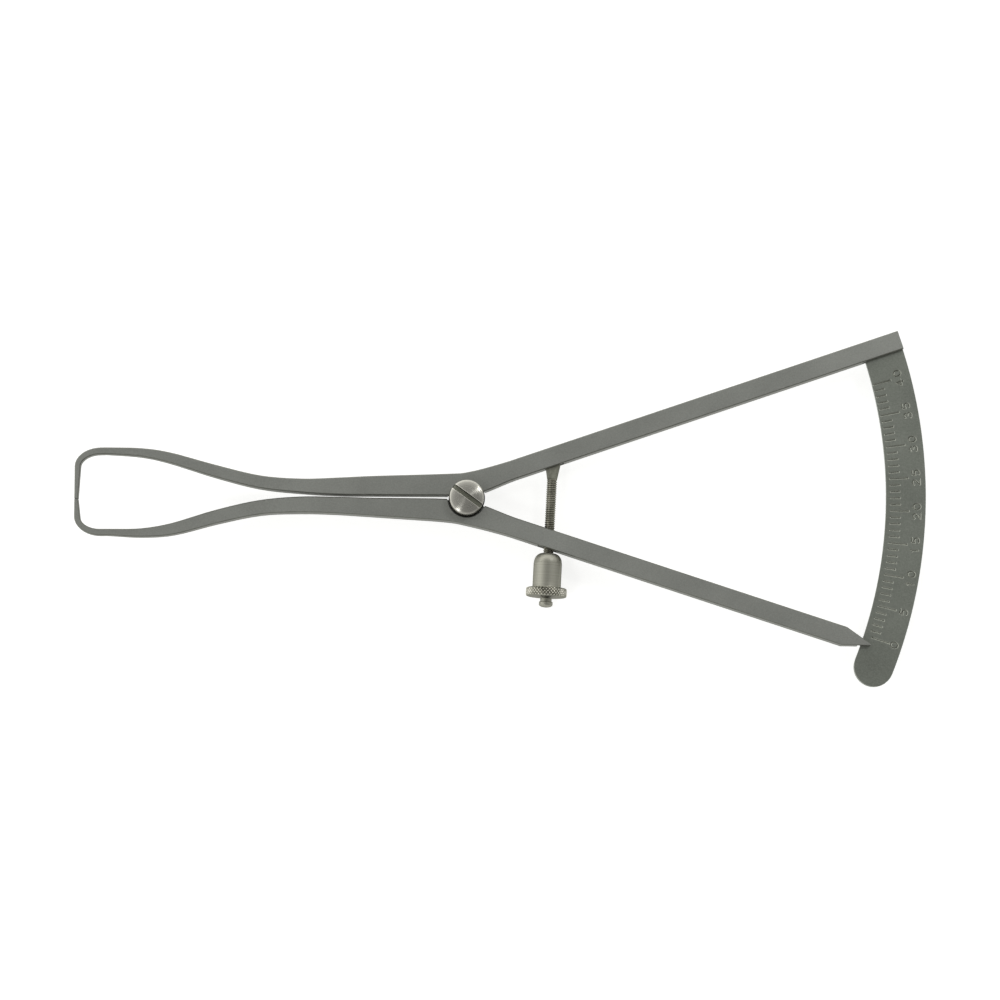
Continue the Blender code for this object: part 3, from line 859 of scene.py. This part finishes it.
def makeSlotEdges(s, rim, along, across):
    # The slot's corners are rounded; their bright colour is a painted highlight.
    outer, steps = s["headRadius"], s["edgeSteps"]
    edges = []
    for side in (-1, 1):
        offset = s["slotOffset"] + side * (s["slotWidth"] / 2 + s["edgeSink"])
        reach = math.sqrt(outer**2 - offset**2) - s["edgeInset"]
        points = []
        for step in range(-steps, steps + 1):
            where = along * (reach * step / steps) + across * offset
            height = s["domeHeight"] * math.sqrt(max(1 - where.length_squared / outer**2, 0))
            points.append(where + Vector((0, 0, rim + height - s["edgeSink"])))
        edges.append(makeTube("slotEdge", points, s["edgeRadius"]))
    edge = joined(edges)
    edge.name = "slotEdgeHighlights"
    edge.data.materials.append(edgeHighlightSteel)
    return edge


def makeSeat(s):
    # A near-black ring in the gap under the head's edge: painted shadow.
    low, high = s["seat"]
    bore, outer = s["seatBore"], s["seatRadius"]
    profile = [(low, bore), (low, outer), (high, outer), (high, bore)]
    seat = turned("paintedShadowRing", profile, s["segments"], bored=True)
    closeAndSmooth(seat)
    seat.data.materials.append(paintedShadowSteel)
    return seat


def makePivotScrew(s):
    rim = s["headBase"] + s["rimHeight"]
    turn = math.radians(s["slotAngle"])
    along = Vector((math.cos(turn), math.sin(turn), 0))
    across = Vector((-math.sin(turn), math.cos(turn), 0))
    piece = turnScrew(s, rim)
    cutSlot(s, piece, rim + s["domeHeight"], turn, across)
    edge = makeSlotEdges(s, rim, along, across)
    seat = makeSeat(s)
    for part in (piece, edge, seat):
        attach(part, "pointer_arm")
    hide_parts("pivot_screw")


makePivotScrew(screw)
print("pivot screw turned")


# Scale plate: the solid's marks are cut again, finer, with the numbers beside them.
numbers = {
    "last": 40,
    "step": 5,
    "bowSteps": 12,  # of a digit's rounds
    "zeroAngle": -19.0,
    "turn": 34.816,  # degrees from 0 to 40, as the solid's marks have it
    "radius": 77.4,  # mm from the pivot to the middle of the numbers
    "halfHeight": 0.62,  # of a stroke's middle line
    "halfWidth": 0.49,
    "pitch": 1.68,
    "strokeRadius": 0.165,
    "strokeDepth": 0.127,
    "lift": 0.004,  # of the cutters' widest line over the surface
    "markStart": 72.9,
    "zeroShift": 0.5,
    "shortMark": 1.6,
    "longMark": 3.1,
    "markRadius": 0.19,
    "markDepth": 0.14,
    "tipShare": 1.02,  # of the cone at a cut's end, against the cut's half width
    "clearDepth": 0.08,  # mm under the top, which holds all of the solid's own marks
    "clearReach": 76.3,  # mm from the pivot, within which they end
    "grooveReach": (72.6, 78.6),  # where all cuts lie
    "grooveLean": (0.3, 0.95),  # how far up a cut's walls face
    "grooveTop": 0.01,  # a wall's middle lies at least this deep
    "smoothAngle": 25,
}


def bow(x, y, width, height, start, end):
    # Part of an ellipse, counted in halves of a digit's width and height.
    points, steps = [], numbers["bowSteps"]
    for step in range(steps + 1):
        turn = math.radians(start + (end - start) * step / steps)
        points.append((x + width * math.cos(turn), y + height * math.sin(turn)))
    return points


digitStrokes = {
    "0": [bow(0, 0, 1, 1, 90, 270), bow(0, 0, 1, 1, -90, 90)],
    "1": [[(-0.55, 0.6), (0, 1)], [(0, 1), (0, -1)]],
    "2": [bow(0, 0.48, 0.85, 0.52, 165, -35) + [(-0.85, -1)], [(-0.85, -1), (0.95, -1)]],
    "3": [bow(-0.05, 0.5, 0.8, 0.5, 150, -90), bow(-0.05, -0.5, 0.95, 0.5, 90, -150)],
    "4": [[(0.3, 1), (-0.95, -0.4)], [(-0.95, -0.4), (1, -0.4)], [(0.3, 1), (0.3, -1)]],
    "5": [[(0.8, 1), (-0.7, 1)], [(-0.7, 1), (-0.8, 0.1)], bow(-0.05, -0.33, 0.95, 0.67, 140, -122)],
}


def makeStroke(n, line, radius):
    # A V-shaped cut: a four-sided tube along the line, with a cone under each end.
    parts = [makeTube("stroke", line, radius, 0)]
    tip = n["tipShare"] * radius
    for end in (line[0], line[-1]):
        deselectAll()
        bpy.ops.mesh.primitive_cone_add(
            vertices=16,
            radius1=0,
            radius2=tip * mm,
            depth=tip * mm,
            location=(Vector(end) - Vector((0, 0, tip / 2))) * mm,
        )
        settle(bpy.context.object)
        parts.append(bpy.context.object)
    return joined(parts)


def makeDigit(n, digit):
    strokes = []
    for stroke in digitStrokes[digit]:
        line = [(x * n["halfWidth"], y * n["halfHeight"], 0) for x, y in stroke]
        strokes.append(makeStroke(n, line, n["strokeRadius"]))
    return joined(strokes)


def placedCopy(tool, matrix):
    piece = tool.copy()
    piece.data = tool.data.copy()
    bpy.context.scene.collection.objects.link(piece)
    piece.data.transform(matrix)
    return piece


def clearTop(n, piece, top):
    # The upper face with the solid's coarse marks gives way to one plain face.
    def onTop(center, normal):
        markEnd = normal.z < 0.3 and math.hypot(center.x, center.y) < n["clearReach"] * mm
        return center.z > top - n["clearDepth"] * mm and (normal.z > 0.85 or markEnd)

    selectFaces(piece, onTop)
    bpy.ops.mesh.delete(type="FACE")
    bpy.ops.mesh.select_mode(type="EDGE")
    bpy.ops.mesh.select_non_manifold()
    bpy.ops.mesh.edge_face_add()
    bpy.ops.object.mode_set(mode="OBJECT")


def markCutters(n, top):
    # One cutter of all marks and numbers, from one digit and one mark of each kind.
    surface = Matrix.Translation((0, 0, top + n["lift"] * mm))
    flat = Matrix.Diagonal((1, 1, n["strokeDepth"] / n["strokeRadius"], 1))
    flatMark = Matrix.Diagonal((1, 1, n["markDepth"] / n["markRadius"], 1))
    quarter = Matrix.Rotation(math.pi / 2, 4, "Z")
    digits = {digit: makeDigit(n, digit) for digit in digitStrokes}
    marks = {}
    for kind in ("shortMark", "longMark"):
        marks[kind] = makeStroke(n, [(0, 0, 0), (n[kind], 0, 0)], n["markRadius"])
    cutters = []
    for reading in range(n["last"] + 1):
        angle = n["zeroAngle"] + n["turn"] * reading / n["last"]
        turn = Matrix.Rotation(math.radians(angle), 4, "Z")
        labelled = reading % n["step"] == 0
        start = n["markStart"] + (n["zeroShift"] if reading == 0 else 0)
        place = surface @ turn @ Matrix.Translation((start * mm, 0, 0)) @ flatMark
        cutters.append(placedCopy(marks["longMark" if labelled else "shortMark"], place))
        text = str(reading) if labelled else ""
        for count, digit in enumerate(text):
            # The numbers read from the lower end of the scale upwards, with their tops to the pivot.
            aside = (count - (len(text) - 1) / 2) * n["pitch"] * mm
            place = surface @ turn @ Matrix.Translation((n["radius"] * mm, aside, 0))
            cutters.append(placedCopy(digits[digit], place @ quarter @ flat))
    for tool in (*digits.values(), *marks.values()):
        bpy.data.objects.remove(tool, do_unlink=True)
    return joined(cutters)


def makeScalePlate(n):
    finishes = [plateSatin, grooveSteel]
    piece = dressCopy(
        "scale_plate", "scalePlate", "scale_arm", finishes, lambda face: 0
    )
    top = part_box("scale_plate")[1].z
    clearTop(n, piece, top)
    cutWith(piece, markCutters(n, top), crossing=True)
    near, far = n["grooveReach"]
    flattest, steepest = n["grooveLean"]
    for face in piece.data.polygons:
        depth = (top - face.center.z) / mm
        reach = math.hypot(face.center.x, face.center.y) / mm
        inCut = n["grooveTop"] < depth < n["markDepth"] and near < reach < far
        face.material_index = 1 if inCut and flattest < face.normal.z < steepest else 0
    closeAndSmooth(piece, n["smoothAngle"])


makeScalePlate(numbers)
print("scale plate engraved")


# Adjusting spindle: a flat eye that tapers into a threaded rod.
spindle = {
    "eyeRadius": 1.4,
    "eyeThickness": 1.2,
    "pinRadius": 0.65,
    "eyeBevel": 0.06,
    "neckEnd": 3.1,
    "neckHalfWidth": 0.86,
    "neckLean": 0.25,  # of the eye's faces that become the neck
    "threadStart": 3.05,
    "crestRadius": 0.895,
    "rootRadius": 0.73,
    "pitch": 0.38,
    "tooth": (0.12, 0.32, 0.14, 0.42),  # root, rise, crest and fall, as shares of the pitch
    "tenonRadius": 0.45,
    "tenonEnd": 24.6,
    "shoulder": 23.5,
    "segments": 36,
    "threadSmooth": 38,  # degrees
    "eyeSmooth": 35,
    "bevelAngle": 50,
}


def makeThreadedRod(s):
    # One tooth is drawn as a line of points and wound up the rod.
    radius, height = s["rootRadius"], s["threadStart"] - s["pitch"]
    tooth = [(radius, 0, height)]
    rise = s["crestRadius"] - s["rootRadius"]
    for outward, share in zip((0, rise, 0, -rise), s["tooth"]):
        radius, height = radius + outward, height + share * s["pitch"]
        tooth.append((radius, 0, height))
    rod = drawLine("threadedRod", tooth)
    turns = math.ceil((s["shoulder"] - s["threadStart"]) / s["pitch"]) + 2
    applyModifier(
        rod,
        "SCREW",
        axis="Z",
        angle=math.tau,
        screw_offset=s["pitch"] * mm,
        iterations=turns,
        steps=s["segments"],
        render_steps=s["segments"],
        use_merge_vertices=True,
        merge_threshold=0.001 * mm,
    )
    makeActive(rod)
    bpy.ops.object.mode_set(mode="EDIT")
    for height, lower in ((s["threadStart"], True), (s["shoulder"], False)):
        bpy.ops.mesh.select_all(action="SELECT")
        bpy.ops.mesh.bisect(
            plane_co=(0, 0, height * mm),
            plane_no=(0, 0, 1),
            use_fill=True,
            clear_inner=lower,
            clear_outer=not lower,
            threshold=0.0001 * mm,
        )
    bpy.ops.object.mode_set(mode="OBJECT")
    closeAndSmooth(rod, s["threadSmooth"])
    settle(rod)
    return rod


def makeEye(s):
    deselectAll()
    bpy.ops.mesh.primitive_cylinder_add(
        vertices=64,
        radius=s["eyeRadius"] * mm,
        depth=s["eyeThickness"] * mm,
        rotation=(0, math.pi / 2, 0),
    )
    eye = bpy.context.object
    eye.name = "spindleEye"
    settle(eye)
    # Faces that look down the rod are drawn out into the neck, narrowed and squared off.
    selectFaces(eye, lambda center, normal: normal.z > s["neckLean"])
    end = s["neckEnd"] * mm
    bpy.ops.mesh.extrude_region_move(TRANSFORM_OT_translate={"value": (0, 0, end)})
    bpy.ops.transform.resize(value=(1, 1, 0), center_override=(0, 0, end))
    widest = math.sqrt(1 - s["neckLean"] ** 2) * s["eyeRadius"]
    narrow = s["neckHalfWidth"] / widest
    bpy.ops.transform.resize(value=(1, narrow, 1), center_override=(0, 0, end))
    bpy.ops.object.mode_set(mode="OBJECT")
    closeAndSmooth(eye)
    deselectAll()
    bpy.ops.mesh.primitive_cylinder_add(
        vertices=48, radius=s["pinRadius"] * mm, depth=4 * mm, rotation=(0, math.pi / 2, 0)
    )
    hole = bpy.context.object
    settle(hole)
    cutWith(eye, hole)
    applyModifier(
        eye,
        "BEVEL",
        width=s["eyeBevel"] * mm,
        segments=2,
        limit_method="ANGLE",
        angle_limit=math.radians(s["bevelAngle"]),
        use_clamp_overlap=True,
    )
    closeAndSmooth(eye, s["eyeSmooth"])
    return eye


def makeSpindle(s):
    rod = makeThreadedRod(s)
    rod.data.materials.append(threadSteel)
    eye = makeEye(s)
    eye.data.materials.append(eyeSteel)
    tenon = turned("tenon", [(s["shoulder"], s["tenonRadius"]), (s["tenonEnd"], s["tenonRadius"])], 32)
    closeAndSmooth(tenon)
    tenon.data.materials.append(threadSteel)
    for piece in (rod, eye, tenon):
        settle(piece, spindleMatrix)
        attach(piece, "spindle")
    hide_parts("adjusting_spindle")


makeSpindle(spindle)
print("spindle threaded")


# Thumb nut: domed nose, plain barrel with turning marks, and a diamond-knurled flange.
nut = {
    "bore": 0.9,
    "noseRadius": 0.95,
    "noseLength": 1.6,
    "barrelRadius": 2.44,
    "grooveDepth": 0.05,
    "flangeThickness": 1.5,
    "footRound": 0.12,
    "flangeRound": 0.3,
    "noseSteps": 10,
    "barrelRings": (0.25, 0.5, 0.75),  # extra rings, as shares of the plain barrel
    "knurlMargin": 0.14,
    "knurlRows": 5,
    "knurlDepth": 0.2,
    "segments": 76,
    "smoothAngle": 20,
}


def makeThumbNut(n):
    nose, foot, widest = spanOf("thumb_nut")
    dome = nose + n["noseLength"]
    flange = foot - n["flangeThickness"]
    barrel, groove, edge = n["barrelRadius"], n["grooveDepth"], n["flangeRound"]
    profile = [(nose, n["bore"]), (nose, n["noseRadius"])]
    profile += roundedCorner(profile[-1], (dome, barrel - groove), n["noseSteps"], True)
    profile += [(dome + groove, barrel - groove), (dome + 2 * groove, barrel)]
    for share in n["barrelRings"]:
        profile.append((dome + (flange - dome) * share, barrel))
    profile.append((flange - n["footRound"] - groove, barrel))
    profile += roundedCorner(profile[-1], (flange, barrel + n["footRound"]), 3, False)
    profile.append((flange, widest - edge))
    margin, rows = n["knurlMargin"], n["knurlRows"]
    pitch = (n["flangeThickness"] - 2 * margin) / (rows - 1)
    for row in range(rows):
        height = margin + pitch * row
        inset = max(edge - min(height, n["flangeThickness"] - height), 0)
        radius = widest - edge + math.sqrt(edge**2 - inset**2)
        profile.append((flange + height, radius))
    profile.append((foot, widest - edge))
    profile.append((foot, n["bore"]))
    piece = turned("thumbNut", profile, n["segments"], bored=True)
    closeAndSmooth(piece, 180)
    # Every other point of the flange is pressed in, which leaves rows of diamonds.
    low, high = (flange + 0.5 * margin) * mm, (foot - 0.5 * margin) * mm
    heights = sorted({round(point.co.z / mm, 4) for point in piece.data.vertices})
    makeActive(piece)
    bpy.ops.object.mode_set(mode="EDIT")
    bpy.ops.mesh.select_mode(type="VERT")
    bpy.ops.mesh.select_all(action="DESELECT")
    bpy.ops.object.mode_set(mode="OBJECT")
    for point in piece.data.vertices:
        column = round(math.atan2(point.co.y, point.co.x) / math.tau * n["segments"])
        row = heights.index(round(point.co.z / mm, 4))
        onBand = low < point.co.z < high and math.hypot(point.co.x, point.co.y) > (widest - edge) * mm
        point.select = onBand and (column + row) % 2 == 0
    bpy.ops.object.mode_set(mode="EDIT")
    press = (widest - n["knurlDepth"]) / widest
    bpy.ops.transform.resize(value=(press, press, 1), center_override=(0, 0, 0))
    bpy.ops.object.mode_set(mode="OBJECT")
    piece.data.materials.append(nutSteel)
    piece.data.materials.append(knurlSteel)
    for face in piece.data.polygons:
        reach = math.hypot(face.center.x, face.center.y)
        knurled = reach > (widest - edge) * mm and low < face.center.z < high
        face.material_index = 1 if knurled else 0
    selectFaces(piece, lambda center, normal: math.hypot(center.x, center.y) > (widest - edge) * mm)
    bpy.ops.mesh.quads_convert_to_tris(quad_method="SHORTEST_DIAGONAL")
    bpy.ops.object.mode_set(mode="OBJECT")
    makeActive(piece)
    bpy.ops.object.shade_smooth_by_angle(angle=math.radians(n["smoothAngle"]))
    settle(piece, spindleMatrix)
    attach(piece, "nut")
    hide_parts("thumb_nut")


makeThumbNut(nut)
print("thumb nut knurled")


# End stop: a collar and a button, riveted over the rod's tenon.
stop = {
    "collarRadius": 0.98,
    "collarLength": 0.6,
    "collarBevel": 0.05,
    "buttonRound": 0.12,
    "domeHeight": 0.48,
    "domeSteps": 7,
    "domeTop": 0.02,  # radius of its smallest ring
    "bore": 0.5,
    "boreDepth": 1.0,
    "segments": 48,
    "smoothAngle": 35,
}


def makeEndStop(s):
    start, end, widest = spanOf("end_stop")
    button = start + s["collarLength"]
    rim = end - s["domeHeight"]
    collar, bevel, edge = s["collarRadius"], s["collarBevel"], s["buttonRound"]
    profile = [(start + s["boreDepth"], s["bore"]), (start, s["bore"]), (start, collar - bevel)]
    profile += [(start + bevel, collar), (button, collar), (button, widest - edge)]
    profile += roundedCorner(profile[-1], (button + edge, widest), 3, True)
    profile.append((rim, widest))
    profile += roundedCorner((rim, widest), (end, s["domeTop"]), s["domeSteps"], False)
    piece = turned("stopButton", profile, s["segments"])
    closeAndSmooth(piece, s["smoothAngle"])
    piece.data.materials.append(nutSteel)
    settle(piece, spindleMatrix)
    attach(piece, "spindle")
    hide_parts("end_stop")


makeEndStop(stop)
print("end stop turned")


deselectAll()
